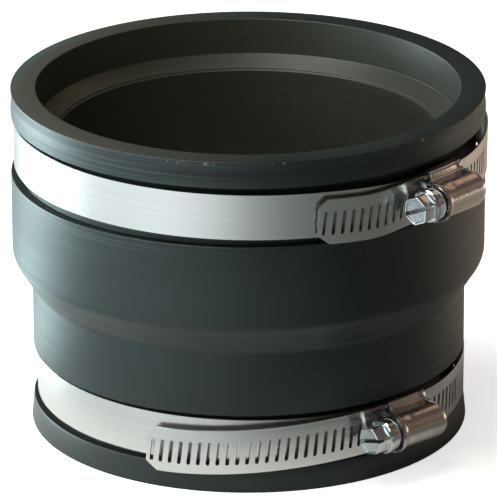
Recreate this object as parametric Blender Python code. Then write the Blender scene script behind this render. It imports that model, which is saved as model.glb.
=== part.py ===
"""Stepped rubber pipe coupling with two worm-drive band clamps.

Metres, +Z up. The origin is on the sleeve's axis, in the plane of its foot.
"""

import math

import bmesh
import bpy
from mathutils import Matrix, Vector

# The moulded sleeve. Heights are above the foot, depths are below the rim.
HEIGHT = 0.1046
BORE_RADIUS = 0.0570
LEDGE_WIDTH = 0.0059
WALL = 0.0083
SOCKET_RADIUS = BORE_RADIUS + LEDGE_WIDTH
BODY_RADIUS = SOCKET_RADIUS + WALL
LOWER_BODY_RADIUS = BORE_RADIUS + WALL
SOCKET_DRAFT = 0.0006
SOCKET_DEPTH = 0.0111
LEDGE_DROP = 0.0029
LEDGE_LIP = 0.0004
RIM_BEAD_HEIGHT = 0.0081
FOOT_BEAD_HEIGHT = 0.0075
FOOT_FLARE = 0.0007
BEAD_WAIST = 0.0005
BEAD_WAIST_SHARE = 0.32
BEAD_CROWN_SHARE = 0.70
CORNER_RADIUS = 0.0004
CONE_TOP = 0.0531
CONE_BOTTOM = 0.0440
CONE_ROUNDING = 0.0030
SLEEVE_SEGMENTS = 72

# The strip that both bands are cut from, and the slots that the worm pulls on.
BAND_WIDTH = 0.0136
BAND_THICKNESS = 0.0006
SLOT_PITCH = 0.0028
SLOT_WIDTH = 0.0011
SLOT_LENGTH = 0.0073
SLOT_DROP = 0.0004
TIP_CHAMFER = 0.0031
TIP_MARGIN = 0.0023
BAND_STEP = math.radians(5)
# The tail climbs over the band's own start through this angle, and is up this much before it.
CLIMB_ANGLE = math.radians(29.5)
CLIMB_LEAD = math.radians(2.5)
# The ring dips at its housing: level through the first angle, back up through the second.
DIP_LEVEL = math.radians(9)
DIP_SPREAD = math.radians(27)

# The stamped housing and the saddle plate that it is folded round.
SHEET = 0.00065
HOUSING_MOUTH = -0.0093
HOUSING_END = 0.0090
FLANGE_START = -0.0056
MOUTH_FLARE = 0.0008
MOUTH_REACH = 0.0026
MOUTH_CLEARANCE = 0.0021
FLARE_LENGTH = 0.0013
END_CURL = 0.0004
BARREL_WAIST = math.radians(-8)
BARREL_STEPS = 6
FOLD_RADIUS = 0.0009
FILLET_RADIUS = 0.0013
BEND_STEPS = 3
FLANGE_LEG = 0.0021
SADDLE_THICKNESS = 0.0006
SADDLE_STEPS = 4
TAB_LENGTH = 0.0012
TAB_WIDTH = 0.0040
TAB_INSET = 0.0030

# The worm screw with its slotted hexagon head. Crest and flank are shares of a thread.
WORM_RADIUS = 0.0044
THREAD_DEPTH = 0.0009
THREAD_CREST = 0.30
THREAD_FLANK = 0.25
RINGS_PER_THREAD = 5
FADE_RINGS = 3
TIP_LENGTH = 0.0012
TIP_TAPER = 0.75
NECK_RELIEF = 0.0001
NECK_LENGTH = 0.0031
HEAD_FLATS = 0.0078
HEAD_LENGTH = 0.0048
HEAD_RECESS = 0.0006
HEAD_RIM = 0.0006
DRIVE_SLOT_WIDTH = 0.0012
DRIVE_SLOT_DEPTH = 0.0020
FLANGE_RADIUS = 0.0052
FLANGE_THICKNESS = 0.0012
SCREW_SIDES = 24

# Clearances between pieces that touch or run on the real coupling.
GAP = 0.0003
EDGE_GAP = 0.0002
RUNNING_GAP = 0.0003
FLOOR_GAP = 0.0004

# How each clamp sits: its ring against the sleeve, its housing and its tail.
UPPER = {
    "name": "upper",
    "stand_off": -0.0002,
    "shift": 0.00075,
    "tilt": math.radians(0.5),
    "above_middle": 0.0002,
    "groove_margin": 0.0006,
    "housing_angle": math.radians(50.5),
    "housing_dip": 0.00065,
    "tail_angle": math.radians(15.1),
    "slots_behind": 0.034,
    "tail_skew": 0.0016,
    "tail_reach": 0.55,
    "tail_lift": 0.0013,
    "screw_turn": math.radians(65),
}
LOWER = {
    "name": "lower",
    "stand_off": -0.0005,
    "shift": 0.0006,
    "tilt": math.radians(0.3),
    "above_middle": 0.0,
    "groove_margin": 0.00015,
    "housing_angle": math.radians(43.0),
    "housing_dip": 0.0,
    "tail_angle": math.radians(-27.5),
    "slots_behind": 0.034,
    "tail_skew": 0.0035,
    "tail_reach": 1.0,
    "tail_lift": 0.0018,
    "screw_turn": math.radians(75),
}

# The layers over the band's outer face, each worked out from the one below it.
tail_bottom = GAP
tail_top = tail_bottom + BAND_THICKNESS
worm_height = tail_top + RUNNING_GAP + WORM_RADIUS
barrel_radius = WORM_RADIUS + RUNNING_GAP + SHEET / 2
flange_height = tail_top + GAP + SHEET / 2
leg_height = -(BAND_THICKNESS + GAP + SHEET / 2)
housing_half_width = BAND_WIDTH / 2 + EDGE_GAP + SHEET
saddle_half_width = housing_half_width - SHEET / 2 - FLANGE_LEG - FOLD_RADIUS - GAP


def clamp_sizes(clamp):
    """Adds the ring's radius, its groove and its height on the sleeve."""
    sizes = dict(clamp)
    body = BODY_RADIUS if clamp is UPPER else LOWER_BODY_RADIUS
    sizes["ring"] = body + clamp["stand_off"]
    rise = (sizes["ring"] + worm_height) * math.sin(clamp["tilt"])
    half = housing_half_width + rise + clamp["groove_margin"]
    depth = -leg_height + max(SHEET, SADDLE_THICKNESS) / 2
    sizes["floor"] = sizes["ring"] - depth - clamp["shift"] - FLOOR_GAP
    if clamp is UPPER:
        sizes["groove_top"] = HEIGHT - RIM_BEAD_HEIGHT
        sizes["groove_foot"] = sizes["groove_top"] - 2 * half
    else:
        sizes["groove_foot"] = FOOT_BEAD_HEIGHT
        sizes["groove_top"] = sizes["groove_foot"] + 2 * half
    middle = (sizes["groove_top"] + sizes["groove_foot"]) / 2
    sizes["height"] = middle + clamp["above_middle"]
    return sizes


def make_material(name, colour, metallic, roughness):
    material = bpy.data.materials.new(name)
    material.use_nodes = True
    shader = material.node_tree.nodes["Principled BSDF"]
    shader.inputs["Base Color"].default_value = (*colour, 1)
    shader.inputs["Metallic"].default_value = metallic
    shader.inputs["Roughness"].default_value = roughness
    material.diffuse_color = (*colour, 1)
    return material


def add_object(name, mesh_data, material, parent=None, place=None):
    """Closes a bmesh into a smooth-shaded object and sets it in its place."""
    bmesh.ops.recalc_face_normals(mesh_data, faces=mesh_data.faces)
    mesh = bpy.data.meshes.new(name)
    mesh_data.to_mesh(mesh)
    mesh_data.free()
    mesh.shade_smooth()
    mesh.set_sharp_from_angle(angle=math.radians(35))
    if material:
        mesh.materials.append(material)
    obj = bpy.data.objects.new(name, mesh)
    bpy.context.scene.collection.objects.link(obj)
    obj.parent = parent
    obj.matrix_local = place or Matrix.Identity(4)
    return obj


def add_empty(name, place, parent=None):
    empty = bpy.data.objects.new(name, None)
    empty.empty_display_size = 0.01
    bpy.context.scene.collection.objects.link(empty)
    empty.parent = parent
    empty.matrix_local = place
    return empty


def cut(target, tool, operation="DIFFERENCE"):
    """Cuts with a tool, or joins it on, and leaves the tool out of the model."""
    tool.hide_render = True
    tool.display_type = "WIRE"
    modifier = target.modifiers.new(tool.name, "BOOLEAN")
    modifier.operation = operation
    modifier.object = tool
    modifier.solver = "EXACT"


def loft(sections):
    """A closed body through rings of equally many points, with both ends filled."""
    mesh_data = bmesh.new()
    rings = [[mesh_data.verts.new(point) for point in section] for section in sections]
    for ring, after in zip(rings, rings[1:]):
        for index in range(len(ring)):
            side = (ring[index - 1], ring[index], after[index], after[index - 1])
            mesh_data.faces.new(side)
    mesh_data.faces.new(rings[0])
    mesh_data.faces.new(rings[-1])
    return mesh_data


def add_box(mesh_data, low, high, place=None):
    """A box between two corners, added to a bmesh."""
    size = Vector(high) - Vector(low)
    middle = (Vector(high) + Vector(low)) / 2
    scale = Matrix.Diagonal((*size, 1))
    matrix = (place or Matrix.Identity(4)) @ Matrix.Translation(middle) @ scale
    bmesh.ops.create_cube(mesh_data, size=1, matrix=matrix)


def smooth_step(value):
    value = min(max(value, 0.0), 1.0)
    return value * value * (3 - 2 * value)


def arc(centre, radius, start, end, steps):
    """Points on an arc in a plane, angles measured from the plane's first axis."""
    turn = (end - start) / steps
    return [
        (
            centre[0] + radius * math.cos(start + turn * step),
            centre[1] + radius * math.sin(start + turn * step),
        )
        for step in range(steps + 1)
    ]


def sleeve_profile(upper, lower):
    """(radius, height) points round the sleeve's wall, from the rim down the outside."""
    bead_top = HEIGHT - CORNER_RADIUS
    bead_foot = upper["groove_top"]
    slope = (BODY_RADIUS - LOWER_BODY_RADIUS) / (CONE_TOP - CONE_BOTTOM)
    shoulder = CONE_TOP - CONE_ROUNDING / 2
    ledge_outer = HEIGHT - SOCKET_DEPTH
    ledge_inner = ledge_outer - LEDGE_DROP
    return [
        (BODY_RADIUS - CORNER_RADIUS, HEIGHT),
        (BODY_RADIUS - CORNER_RADIUS / 3, bead_top + CORNER_RADIUS / 2),
        (BODY_RADIUS - BEAD_WAIST / 2, bead_top - CORNER_RADIUS),
        (BODY_RADIUS - BEAD_WAIST, HEIGHT - RIM_BEAD_HEIGHT * BEAD_WAIST_SHARE),
        (BODY_RADIUS, HEIGHT - RIM_BEAD_HEIGHT * BEAD_CROWN_SHARE),
        (BODY_RADIUS - CORNER_RADIUS / 2, bead_foot + CORNER_RADIUS),
        (BODY_RADIUS - 2 * CORNER_RADIUS, bead_foot),
        (upper["floor"], bead_foot),
        (upper["floor"], upper["groove_foot"]),
        (BODY_RADIUS - CORNER_RADIUS, upper["groove_foot"]),
        (BODY_RADIUS, upper["groove_foot"] - CORNER_RADIUS),
        (BODY_RADIUS, CONE_TOP + CONE_ROUNDING / 2),
        (BODY_RADIUS - slope * CONE_ROUNDING / 8, CONE_TOP),
        (BODY_RADIUS - slope * (CONE_TOP - shoulder), shoulder),
        (LOWER_BODY_RADIUS, CONE_BOTTOM),
        (LOWER_BODY_RADIUS, lower["groove_top"] + CORNER_RADIUS),
        (LOWER_BODY_RADIUS - CORNER_RADIUS, lower["groove_top"]),
        (lower["floor"], lower["groove_top"]),
        (lower["floor"], lower["groove_foot"]),
        (LOWER_BODY_RADIUS - CORNER_RADIUS, lower["groove_foot"]),
        (LOWER_BODY_RADIUS, lower["groove_foot"] - CORNER_RADIUS),
        (LOWER_BODY_RADIUS + FOOT_FLARE, CORNER_RADIUS),
        (LOWER_BODY_RADIUS + FOOT_FLARE - CORNER_RADIUS, 0),
        (BORE_RADIUS, 0),
        (BORE_RADIUS, ledge_inner - LEDGE_LIP),
        (BORE_RADIUS + LEDGE_LIP, ledge_inner),
        (SOCKET_RADIUS - LEDGE_LIP, ledge_outer - LEDGE_LIP / 2),
        (SOCKET_RADIUS, ledge_outer + LEDGE_LIP),
        (SOCKET_RADIUS + SOCKET_DRAFT, HEIGHT - CORNER_RADIUS / 2),
        (SOCKET_RADIUS + SOCKET_DRAFT + CORNER_RADIUS / 2, HEIGHT),
    ]


def make_sleeve(upper, lower, rubber):
    mesh_data = bmesh.new()
    points = sleeve_profile(upper, lower)
    verts = [mesh_data.verts.new((radius, 0, height)) for radius, height in points]
    edges = [
        mesh_data.edges.new((verts[index - 1], verts[index]))
        for index in range(len(verts))
    ]
    bmesh.ops.spin(
        mesh_data,
        geom=verts + edges,
        cent=(0, 0, 0),
        axis=(0, 0, 1),
        angle=math.tau,
        steps=SLEEVE_SEGMENTS,
        use_merge=True,
    )
    return add_object("sleeve", mesh_data, rubber)


def band_layout(clamp):
    """The angles round one band, from its fixed end under the housing to its free tip."""
    ring = clamp["ring"]
    start = clamp["housing_angle"] + (HOUSING_END - 2 * FLARE_LENGTH) / ring
    tail = start + math.tau
    return {
        "start": start,
        "turn": tail - clamp["tail_angle"],
        "climb_end": math.tau - CLIMB_LEAD,
        "climb_start": math.tau - CLIMB_LEAD - CLIMB_ANGLE,
        "mouth": tail - clamp["housing_angle"] + (MOUTH_CLEARANCE - HOUSING_MOUTH) / ring,
    }


def band_place(clamp, layout, turned):
    """(angle, outer radius, height) of the band's middle where it has turned so far."""
    climb = layout["climb_end"] - layout["climb_start"]
    risen = smooth_step((turned - layout["climb_start"]) / climb)
    free = (turned - layout["mouth"]) / (layout["turn"] - layout["mouth"])
    lift = clamp["tail_lift"] * (1 - (1 - max(free, 0.0)) ** 3)
    angle = layout["start"] - turned
    away = (angle - clamp["housing_angle"] + math.pi) % math.tau - math.pi
    dip = clamp["housing_dip"] * (1 - smooth_step((abs(away) - DIP_LEVEL) / DIP_SPREAD))
    skew = clamp["tail_skew"] * smooth_step(free / clamp["tail_reach"])
    return angle, clamp["ring"] + tail_top * risen + lift, -dip - skew


def on_ring(angle, radius, height):
    """A point on the ring: angle 0 is at the front, and it grows towards +X."""
    return Vector((radius * math.sin(angle), -radius * math.cos(angle), height))


def make_band(clamp, steel, parent):
    layout = band_layout(clamp)
    chamfer = TIP_CHAMFER / clamp["ring"]
    plain = layout["turn"] - chamfer
    steps = math.ceil(plain / BAND_STEP)
    stations = [plain * step / steps for step in range(steps + 1)]
    half_widths = [BAND_WIDTH / 2] * len(stations)
    stations.append(layout["turn"])
    half_widths.append(BAND_WIDTH / 2 - TIP_CHAMFER)
    sections = []
    for turned, half in zip(stations, half_widths):
        angle, radius, height = band_place(clamp, layout, turned)
        corners = (
            (radius, height + half),
            (radius, height - half),
            (radius - BAND_THICKNESS, height - half),
            (radius - BAND_THICKNESS, height + half),
        )
        sections.append([on_ring(angle, *corner) for corner in corners])
    name = clamp["name"] + "_band"
    band = add_object(name, loft(sections), steel, parent)
    cut(band, make_slot_cutter(clamp, layout, parent))
    cut(band, make_window_cutter(clamp, parent))
    return band


def make_slot_cutter(clamp, layout, parent):
    """Slanted slots along the tail, from near its tip to well past the housing."""
    mesh_data = bmesh.new()
    pitch = SLOT_PITCH / clamp["ring"]
    first = layout["turn"] - TIP_MARGIN / clamp["ring"]
    behind = layout["start"] + math.tau - clamp["housing_angle"]
    last = behind - clamp["slots_behind"] / clamp["ring"]
    lead = math.atan(SLOT_PITCH / (math.tau * (WORM_RADIUS - THREAD_DEPTH / 2)))
    count = int((first - last) / pitch) + 1
    for index in range(count):
        angle, radius, height = band_place(clamp, layout, first - index * pitch)
        place = (
            Matrix.Translation(on_ring(angle, radius, height - SLOT_DROP))
            @ Matrix.Rotation(angle, 4, "Z")
            @ Matrix.Rotation(lead, 4, "Y")
        )
        low = (-SLOT_WIDTH / 2, -BAND_THICKNESS, -SLOT_LENGTH / 2)
        high = (SLOT_WIDTH / 2, BAND_THICKNESS + GAP / 2, SLOT_LENGTH / 2)
        add_box(mesh_data, low, high, place)
    cutter = add_object(clamp["name"] + "_slots", mesh_data, None, parent)
    return cutter


def housing_frame(clamp):
    """Along the screw, up the ring's axis and out from the ring, on the band's face."""
    angle = clamp["housing_angle"]
    along = Vector((math.cos(angle), math.sin(angle), 0))
    out = Vector((math.sin(angle), -math.cos(angle), 0))
    frame = Matrix.Identity(4)
    for column, axis in enumerate((along, Vector((0, 0, 1)), out)):
        for row in range(3):
            frame[row][column] = axis[row]
    frame.translation = out * clamp["ring"] - Vector((0, 0, clamp["housing_dip"]))
    return frame


def bent(clamp, along, height):
    """(along, height) in the housing's frame of a point that follows the ring's curve."""
    angle = along / clamp["ring"]
    radius = clamp["ring"] + height
    return radius * math.sin(angle), radius * math.cos(angle) - clamp["ring"]


def tab_places():
    """Where the saddle's two tabs stand along the housing."""
    return (FLANGE_START + TAB_INSET, HOUSING_END - 2 * FLARE_LENGTH - TAB_INSET)


def make_window_cutter(clamp, parent):
    """Two windows in the band's fixed end, which the saddle's tabs come through."""
    mesh_data = bmesh.new()
    for along in tab_places():
        middle = along + TAB_LENGTH / 2
        turn = Matrix.Rotation(middle / clamp["ring"], 4, "Y")
        x, z = bent(clamp, middle, 0)
        half = TAB_LENGTH / 2 + GAP
        low = (-half, -TAB_WIDTH / 2 - GAP, -BAND_THICKNESS - GAP / 2)
        high = (half, TAB_WIDTH / 2 + GAP, GAP / 2)
        add_box(mesh_data, low, high, Matrix.Translation((x, 0, z)) @ turn)
    name = clamp["name"] + "_windows"
    return add_object(name, mesh_data, None, parent, housing_frame(clamp))


def make_saddle(clamp, steel, parent):
    """A plate under the band's fixed end, with two tabs that hold it."""
    top = -(BAND_THICKNESS + GAP)
    ends = (FLANGE_START + GAP, HOUSING_END - GAP)
    sections = []
    for step in range(SADDLE_STEPS + 1):
        along = ends[0] + (ends[1] - ends[0]) * step / SADDLE_STEPS
        section = []
        foot = top - SADDLE_THICKNESS
        for side, height in ((-1, top), (1, top), (1, foot), (-1, foot)):
            x, z = bent(clamp, along, height)
            section.append(Vector((x, side * saddle_half_width, z)))
        sections.append(section)
    name = clamp["name"] + "_saddle"
    frame = housing_frame(clamp)
    saddle = add_object(name, loft(sections), steel, parent, frame)
    mesh_data = bmesh.new()
    for along in tab_places():
        middle = along + TAB_LENGTH / 2
        x, z = bent(clamp, middle, 0)
        turn = Matrix.Rotation(middle / clamp["ring"], 4, "Y")
        low = (-TAB_LENGTH / 2, -TAB_WIDTH / 2, top - SADDLE_THICKNESS / 2)
        high = (TAB_LENGTH / 2, TAB_WIDTH / 2, 0)
        add_box(mesh_data, low, high, Matrix.Translation((x, 0, z)) @ turn)
    tabs = add_object(clamp["name"] + "_tabs", mesh_data, None, parent, frame)
    cut(saddle, tabs, "UNION")
    return saddle


def housing_half_outline(radius):
    """(side, height) points of the sheet's middle, from the barrel's crown to a leg's end."""
    fold_side = housing_half_width - SHEET / 2 - FOLD_RADIUS
    valley = min(FILLET_RADIUS, fold_side - barrel_radius)
    crown = arc((0, worm_height), radius, math.pi / 2, BARREL_WAIST, BARREL_STEPS)
    fillet_centre = (barrel_radius + valley, flange_height + valley)
    fillet = arc(fillet_centre, valley, math.pi, math.pi * 1.5, BEND_STEPS)
    fold_centre = (fold_side, flange_height - FOLD_RADIUS)
    fold = arc(fold_centre, FOLD_RADIUS, math.pi / 2, 0, BEND_STEPS)
    curl_centre = (fold_side, leg_height + FOLD_RADIUS)
    curl = arc(curl_centre, FOLD_RADIUS, 0, -math.pi / 2, BEND_STEPS)
    leg_end = (fold_side - FLANGE_LEG, leg_height)
    return crown + fillet + fold + curl + [leg_end]


def thickened(outline):
    """A closed loop half a sheet's thickness each side of an open line."""
    outer = []
    inner = []
    for index, point in enumerate(outline):
        before = Vector(outline[max(index - 1, 0)])
        after = Vector(outline[min(index + 1, len(outline) - 1)])
        along = (after - before).normalized()
        across = Vector((-along.y, along.x)) * SHEET / 2
        outer.append(Vector(point) + across)
        inner.append(Vector(point) - across)
    return outer + inner[::-1]


def barrel_at(along):
    """The barrel's radius: flared at its mouth and curled in at its far end."""
    flare = 1 - smooth_step((along - HOUSING_MOUTH) / FLARE_LENGTH)
    curl = smooth_step((along - HOUSING_END + FLARE_LENGTH) / FLARE_LENGTH)
    return barrel_radius + MOUTH_FLARE * flare**2 - END_CURL * curl


def make_housing(clamp, steel, parent):
    """One stamping: a barrel over the worm, with both edges folded round the band."""
    near = [HOUSING_MOUTH + FLARE_LENGTH * part for part in (0, 0.3, 0.6, 1)]
    far = [HOUSING_END - FLARE_LENGTH * part for part in (1, 0.5, 0)]
    middle = [near[-1] + (far[0] - near[-1]) * part / 3 for part in (1, 2)]
    sections = []
    for along in near + middle + far:
        half = housing_half_outline(barrel_at(along))
        mirrored = [(-side, height) for side, height in half[:0:-1]]
        sag = clamp["ring"] - math.sqrt(clamp["ring"] ** 2 - along**2)
        section = []
        for side, height in thickened(mirrored + half):
            low = 1 - smooth_step((height - flange_height) / (worm_height - flange_height))
            section.append(Vector((along, side, height - sag * low)))
        sections.append(section)
    name = clamp["name"] + "_housing"
    housing = add_object(name, loft(sections), steel, parent, housing_frame(clamp))
    # The flanges start behind the mouth, which reaches forward over the neck on its own.
    mesh_data = bmesh.new()
    side = housing_half_width + SHEET
    low = (HOUSING_MOUTH - SHEET, -side, leg_height - 2 * SHEET)
    high = (FLANGE_START, side, worm_height - MOUTH_REACH)
    add_box(mesh_data, low, high)
    cutter = add_object(name + "_mouth", mesh_data, None, parent, housing_frame(clamp))
    cut(housing, cutter)
    return housing


def hexagon_radius(angle):
    """The head's radius at an angle, for a hexagon across its flats."""
    sector = math.pi / 3
    return HEAD_FLATS / 2 / math.cos(angle % sector - sector / 2)


def thread_radius(along, angle):
    """The worm's radius where a trapezium thread of the slots' pitch passes."""
    phase = (along / SLOT_PITCH + angle / math.tau) % 1
    flank = (abs(phase - 0.5) - THREAD_CREST / 2) / THREAD_FLANK
    return WORM_RADIUS - THREAD_DEPTH * min(max(flank, 0.0), 1.0)


def screw_sections():
    """Rings down the screw, each (place along it, radius at an angle)."""
    neck = HOUSING_MOUTH - NECK_LENGTH
    flange = neck - FLANGE_THICKNESS
    face = flange - HEAD_LENGTH
    chamfer = HEAD_RIM / 2
    root = WORM_RADIUS - THREAD_DEPTH
    neck_radius = WORM_RADIUS - NECK_RELIEF
    worm_end = HOUSING_END - FLARE_LENGTH - GAP
    worm_start = HOUSING_MOUTH + FLARE_LENGTH
    inner = HEAD_FLATS / 2 - HEAD_RIM
    rings = [
        (face + HEAD_RECESS, lambda angle: DRIVE_SLOT_WIDTH),
        (face + HEAD_RECESS, lambda angle: inner),
        (face, lambda angle: HEAD_FLATS / 2 - HEAD_RIM / 2),
        (face, lambda angle: hexagon_radius(angle) - chamfer),
        (face + chamfer, hexagon_radius),
        (flange - chamfer, hexagon_radius),
        (flange, lambda angle: FLANGE_RADIUS - chamfer),
        (flange + chamfer, lambda angle: FLANGE_RADIUS),
        (neck, lambda angle: FLANGE_RADIUS),
        (neck, lambda angle: neck_radius),
        (worm_start - GAP, lambda angle: neck_radius),
        (worm_start, lambda angle: root),
    ]
    steps = math.ceil((worm_end - worm_start) / SLOT_PITCH * RINGS_PER_THREAD)
    for step in range(1, steps):
        along = worm_start + (worm_end - worm_start) * step / steps
        fade = min(step, steps - step, FADE_RINGS) / FADE_RINGS
        rings.append(
            (along, lambda angle, a=along, f=fade: root + (thread_radius(a, angle) - root) * f)
        )
    rings.append((worm_end, lambda angle: root))
    rings.append((worm_end + TIP_LENGTH, lambda angle: root * TIP_TAPER))
    return rings


def make_screw(clamp, steel, parent):
    """Worm, neck, flange and hexagon head in one, with a driver slot across the face."""
    angles = [math.tau * (side + 0.5) / SCREW_SIDES for side in range(SCREW_SIDES)]
    turn = -math.pi / SCREW_SIDES
    sections = []
    for along, radius_at in screw_sections():
        section = []
        for angle in angles:
            radius = radius_at(angle + turn)
            section.append(Vector((along, radius * math.cos(angle), radius * math.sin(angle))))
        sections.append(section)
    place = housing_frame(clamp) @ Matrix.Translation((0, 0, worm_height))
    place = place @ Matrix.Rotation(clamp["screw_turn"], 4, "X")
    name = clamp["name"] + "_screw"
    screw = add_object(name, loft(sections), steel, parent, place)
    face = HOUSING_MOUTH - NECK_LENGTH - FLANGE_THICKNESS - HEAD_LENGTH
    mesh_data = bmesh.new()
    low = (face - HEAD_RIM, -HEAD_FLATS, -DRIVE_SLOT_WIDTH / 2)
    high = (face + DRIVE_SLOT_DEPTH, HEAD_FLATS, DRIVE_SLOT_WIDTH / 2)
    add_box(mesh_data, low, high)
    name = clamp["name"] + "_driver_slot"
    cut(screw, add_object(name, mesh_data, None, parent, place))
    return screw


def make_clamp(clamp, strip, zinc):
    """One clamp, hung from an empty on the axis of its slightly tilted ring."""
    place = Matrix.Translation((clamp["shift"], 0, clamp["height"]))
    place = place @ Matrix.Rotation(clamp["tilt"], 4, "Y")
    ring = add_empty(clamp["name"] + "_ring", place)
    make_band(clamp, strip, ring)
    make_saddle(clamp, strip, ring)
    make_housing(clamp, strip, ring)
    make_screw(clamp, zinc, ring)


for old in list(bpy.data.objects):
    bpy.data.objects.remove(old)

black_rubber = make_material("black_rubber", (0.035, 0.038, 0.040), 0.0, 0.45)
stainless = make_material("stainless_strip", (0.62, 0.60, 0.57), 1.0, 0.25)
zinc_plate = make_material("zinc_plate", (0.66, 0.69, 0.72), 1.0, 0.30)

upper_clamp = clamp_sizes(UPPER)
lower_clamp = clamp_sizes(LOWER)
make_sleeve(upper_clamp, lower_clamp, black_rubber)
make_clamp(upper_clamp, stainless, zinc_plate)
make_clamp(lower_clamp, stainless, zinc_plate)
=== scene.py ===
import math

import bmesh
import bpy
from mathutils import Matrix, Vector, noise


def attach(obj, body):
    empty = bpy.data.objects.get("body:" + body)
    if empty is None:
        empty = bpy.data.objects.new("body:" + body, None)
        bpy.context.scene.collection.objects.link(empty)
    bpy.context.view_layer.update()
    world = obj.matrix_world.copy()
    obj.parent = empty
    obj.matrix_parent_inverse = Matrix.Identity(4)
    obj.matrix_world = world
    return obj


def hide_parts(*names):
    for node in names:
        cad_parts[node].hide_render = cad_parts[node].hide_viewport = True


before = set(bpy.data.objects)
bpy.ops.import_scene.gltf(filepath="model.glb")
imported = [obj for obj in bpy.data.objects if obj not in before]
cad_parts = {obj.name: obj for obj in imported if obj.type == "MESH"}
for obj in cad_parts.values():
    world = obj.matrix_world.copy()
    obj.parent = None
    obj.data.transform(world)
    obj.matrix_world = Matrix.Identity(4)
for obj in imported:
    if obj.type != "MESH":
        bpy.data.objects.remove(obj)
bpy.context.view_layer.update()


# The sleeve: one thick black rubber moulding, a wide socket end stepping down to a
# plain smaller end. A groove near each end seats a clamp. The mould leaves crisp
# edges and a fine lip, and handling leaves brushed scuffs, nicks and pale dust.
HEIGHT = 0.1046
BORE_RADIUS = 0.0570
SOCKET_RADIUS = 0.0629
WALL = 0.0083
BODY_RADIUS = SOCKET_RADIUS + WALL
LOWER_RADIUS = BORE_RADIUS + WALL
FOOT_RADIUS = 0.0660
LEDGE_OUTER = HEIGHT - 0.0111
LEDGE_INNER = LEDGE_OUTER - 0.0029
SLEEVE_STEPS = 240
SAME_PLACE = 1e-5

# Each groove: the radius of its floor, then the heights of its top and its foot.
UPPER_GROOVE = (0.0683, HEIGHT - 0.0081, 0.07866)
LOWER_GROOVE = (0.06225, 0.02384, 0.0075)

# Each corner of the wall: radius, height and how much it is rounded.
sleeve_corners = [
    (BODY_RADIUS - 0.0001, HEIGHT, 0.00022),
    (BODY_RADIUS - 0.0006, HEIGHT - 0.0021, 0.0010),
    (BODY_RADIUS, HEIGHT - 0.0055, 0.0012),
    (BODY_RADIUS - 0.0002, UPPER_GROOVE[1], 0.0003),
    (UPPER_GROOVE[0], UPPER_GROOVE[1], 0.0002),
    (UPPER_GROOVE[0], UPPER_GROOVE[2], 0.0002),
    (BODY_RADIUS, UPPER_GROOVE[2], 0.0004),
    (BODY_RADIUS, 0.0531, 0.0019),
    (LOWER_RADIUS, 0.0440, 0.0012),
    (LOWER_RADIUS, LOWER_GROOVE[1], 0.0004),
    (LOWER_GROOVE[0], LOWER_GROOVE[1], 0.0002),
    (LOWER_GROOVE[0], LOWER_GROOVE[2], 0.0002),
    (LOWER_RADIUS, LOWER_GROOVE[2], 0.0003),
    (FOOT_RADIUS, 0.0, 0.0003),
    (BORE_RADIUS, 0.0, 0.0003),
    (BORE_RADIUS, LEDGE_INNER - 0.0007, 0.0002),
    (BORE_RADIUS + 0.0005, LEDGE_INNER - 0.0005, 0.0002),
    (BORE_RADIUS + 0.0006, LEDGE_INNER, 0.0002),
    (SOCKET_RADIUS, LEDGE_OUTER, 0.0003),
    (SOCKET_RADIUS + 0.0006, HEIGHT, 0.0003),
]


def new_piece(name, shape, angle=35):
    """A smooth-shaded object from a bmesh, with edges sharper than an angle kept."""
    mesh = bpy.data.meshes.new(name)
    shape.to_mesh(mesh)
    shape.free()
    mesh.shade_smooth()
    mesh.set_sharp_from_angle(angle=math.radians(angle))
    piece = bpy.data.objects.new(name, mesh)
    bpy.context.scene.collection.objects.link(piece)
    return piece


shape = bmesh.new()
wall_verts = [shape.verts.new((radius, 0, height)) for radius, height, _ in sleeve_corners]
wall_edges = [
    shape.edges.new((wall_verts[index - 1], wall_verts[index]))
    for index in range(len(wall_verts))
]
bmesh.ops.spin(
    shape,
    geom=wall_verts + wall_edges,
    cent=(0, 0, 0),
    axis=(0, 0, 1),
    angle=math.tau,
    steps=SLEEVE_STEPS,
    use_merge=True,
)
bmesh.ops.recalc_face_normals(shape, faces=shape.faces)
for radius, height, rounding in sleeve_corners:
    ring = [
        edge
        for edge in shape.edges
        if all(
            abs(vert.co.xy.length - radius) < SAME_PLACE and abs(vert.co.z - height) < SAME_PLACE
            for vert in edge.verts
        )
    ]
    bmesh.ops.bevel(
        shape,
        geom=ring,
        offset=rounding,
        affect="EDGES",
        segments=4,
        profile=0.5,
        material=-1,
        clamp_overlap=True,
    )

# Soft rubber never comes out of its mould quite true, which shows along its edges.
WAVE_DEPTH = 0.00006
WAVES_PER_METRE = 38
WAVE_DRAW = 0.4
GROOVE_MARGIN = 0.001
FOOT_MARGIN = 0.0005
for vert in shape.verts:
    radius = vert.co.xy.length
    bend = noise.noise(Vector((vert.co.x, vert.co.y, vert.co.z * WAVE_DRAW)) * WAVES_PER_METRE)
    on_outside = radius > LOWER_GROOVE[0] + GROOVE_MARGIN
    in_groove = UPPER_GROOVE[0] + GROOVE_MARGIN > radius and vert.co.z > UPPER_GROOVE[2]
    if on_outside and not in_groove and vert.co.z > FOOT_MARGIN:
        vert.co.xy -= vert.co.xy.normalized() * (WAVE_DEPTH + WAVE_DEPTH * bend)
sleeve = new_piece("rubber_sleeve", shape)


def add_node(tree, kind, place, **settings):
    """One shader node with its settings, or its inputs' values by name."""
    node = tree.nodes.new(kind)
    node.location = place
    for name, value in settings.items():
        if hasattr(node, name):
            setattr(node, name, value)
        else:
            node.inputs[name.replace("_", " ")].default_value = value
    return node


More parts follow.
